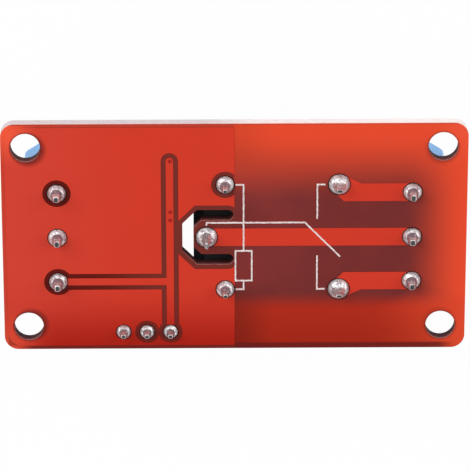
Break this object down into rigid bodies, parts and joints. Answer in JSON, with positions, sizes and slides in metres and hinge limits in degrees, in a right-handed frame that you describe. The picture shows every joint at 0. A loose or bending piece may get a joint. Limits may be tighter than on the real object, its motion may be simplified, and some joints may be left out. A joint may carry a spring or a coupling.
{
  "type": "relay module board",
  "caption": "Relay module board, solder side up: red board with isolation slot, screw terminals, sealed relay, jumper header and printed relay symbol.",
  "frame": {"origin": "centre of the four mounting holes, on the solder face of the board", "axes": "+X along the board from the input terminals to the relay's output terminals, +Y across it away from the header, +Z out of the solder face"},
  "size_m": [0.0498, 0.0258, 0.0192],
  "materials": {
    "laminate": "red glass-fibre laminate, glossy",
    "masked_copper": "copper under glossy red mask",
    "ink": "printed white",
    "solder": "shiny tin",
    "terminal_plastic": "moulded light blue",
    "zinc_steel": "zinc plated",
    "clamp_metal": "tinned brass",
    "case_plastic": "moulded blue",
    "base_plastic": "moulded black",
    "bobbin_plastic": "moulded natural",
    "copper_wire": "enamelled copper",
    "iron": "plated soft iron",
    "contact_silver": "silver alloy",
    "spring_bronze": "bright strip",
    "gold_pin": "plated",
    "jumper_plastic": "moulded yellow",
    "chip_plastic": "moulded black",
    "lamp_plastic": "clear resin"
  },
  "bodies": {
    "root": {"board": "laminate", "chip_end_caps": "zinc_steel", "circuit_legend": "ink", "closed_contact_strip": "spring_bronze", "closed_contact_track": "masked_copper", "coil_bobbin": "bobbin_plastic", "coil_pins": "spring_bronze", "coil_winding": "copper_wire", "common_terminal": "spring_bronze", "common_track": "masked_copper", "component_tracks": "masked_copper", "diode_body": "chip_plastic", "diode_leads": "zinc_steel", "fixed_contacts": "contact_silver", "ground_pour": "masked_copper", "header_block": "base_plastic", "header_pins": "gold_pin", "header_solder_joints": "solder", "input_clamp_cages": "clamp_metal", "input_housing": "terminal_plastic", "input_solder_joints": "solder", "iron_core": "iron", "isolated_pads": "masked_copper", "jumper_cap": "jumper_plastic", "jumper_clip": "gold_pin", "open_contact_strip": "spring_bronze", "open_contact_track": "masked_copper", "optocoupler_body": "chip_plastic", "optocoupler_leads": "zinc_steel", "output_clamp_cages": "clamp_metal", "output_housing": "terminal_plastic", "output_solder_joints": "solder", "power_lamp": "lamp_plastic", "relay_base": "base_plastic", "relay_case": "case_plastic", "relay_solder_joints": "solder", "resistor_bodies": "chip_plastic", "signal_track": "masked_copper", "transistor_body": "chip_plastic", "transistor_leads": "zinc_steel", "trigger_lamp": "lamp_plastic", "yoke": "iron"},
    "input_clamp_1": {"input_leaf_1": "zinc_steel"},
    "input_screw_1_body": {"input_screw_1": "zinc_steel"},
    "input_clamp_2": {"input_leaf_2": "zinc_steel"},
    "input_screw_2_body": {"input_screw_2": "zinc_steel"},
    "input_clamp_3": {"input_leaf_3": "zinc_steel"},
    "input_screw_3_body": {"input_screw_3": "zinc_steel"},
    "output_clamp_1": {"output_leaf_1": "zinc_steel"},
    "output_screw_1_body": {"output_screw_1": "zinc_steel"},
    "output_clamp_2": {"output_leaf_2": "zinc_steel"},
    "output_screw_2_body": {"output_screw_2": "zinc_steel"},
    "output_clamp_3": {"output_leaf_3": "zinc_steel"},
    "output_screw_3_body": {"output_screw_3": "zinc_steel"},
    "armature_set": {"armature": "iron", "contact_spring": "spring_bronze", "moving_contact": "contact_silver"}
  },
  "joints": [
    {"name": "input_press_1", "type": "slide", "parent": "root", "child": "input_clamp_1", "axis": [0, 0, 1], "range_m": [0, 0.00202]},
    {"name": "input_turn_1", "type": "hinge", "parent": "input_clamp_1", "child": "input_screw_1_body", "pos_m": [-0.01855, 0.00508, -0.0115], "axis": [0, 0, 1], "range_deg": [0, 1621]},
    {"name": "input_press_2", "type": "slide", "parent": "root", "child": "input_clamp_2", "axis": [0, 0, 1], "range_m": [0, 0.00202]},
    {"name": "input_turn_2", "type": "hinge", "parent": "input_clamp_2", "child": "input_screw_2_body", "pos_m": [-0.01855, 0, -0.0115], "axis": [0, 0, 1], "range_deg": [0, 1621]},
    {"name": "input_press_3", "type": "slide", "parent": "root", "child": "input_clamp_3", "axis": [0, 0, 1], "range_m": [0, 0.00202]},
    {"name": "input_turn_3", "type": "hinge", "parent": "input_clamp_3", "child": "input_screw_3_body", "pos_m": [-0.01855, -0.00508, -0.0115], "axis": [0, 0, 1], "range_deg": [0, 1621]},
    {"name": "output_press_1", "type": "slide", "parent": "root", "child": "output_clamp_1", "axis": [0, 0, 1], "range_m": [0, 0.00202]},
    {"name": "output_turn_1", "type": "hinge", "parent": "output_clamp_1", "child": "output_screw_1_body", "pos_m": [0.0186, 0.00508, -0.0115], "axis": [0, 0, 1], "range_deg": [0, 1621]},
    {"name": "output_press_2", "type": "slide", "parent": "root", "child": "output_clamp_2", "axis": [0, 0, 1], "range_m": [0, 0.00202]},
    {"name": "output_turn_2", "type": "hinge", "parent": "output_clamp_2", "child": "output_screw_2_body", "pos_m": [0.0186, 0, -0.0115], "axis": [0, 0, 1], "range_deg": [0, 1621]},
    {"name": "output_press_3", "type": "slide", "parent": "root", "child": "output_clamp_3", "axis": [0, 0, 1], "range_m": [0, 0.00202]},
    {"name": "output_turn_3", "type": "hinge", "parent": "output_clamp_3", "child": "output_screw_3_body", "pos_m": [0.0186, -0.00508, -0.0115], "axis": [0, 0, 1], "range_deg": [0, 1621]},
    {"name": "armature_pull_in", "type": "hinge", "parent": "root", "child": "armature_set", "pos_m": [-0.0023, 0, -0.01248], "axis": [0, -1, 0], "range_deg": [0, 2.7], "stiffness_Nm_per_rad": 0.001, "springref_deg": -3.44}
  ],
  "couplings": [
    {"joint": "input_turn_1", "follows": "input_press_1", "rad_per_m": 13963},
    {"joint": "input_turn_2", "follows": "input_press_2", "rad_per_m": 13963},
    {"joint": "input_turn_3", "follows": "input_press_3", "rad_per_m": 13963},
    {"joint": "output_turn_1", "follows": "output_press_1", "rad_per_m": 13963},
    {"joint": "output_turn_2", "follows": "output_press_2", "rad_per_m": 13963},
    {"joint": "output_turn_3", "follows": "output_press_3", "rad_per_m": 13963}
  ]
}
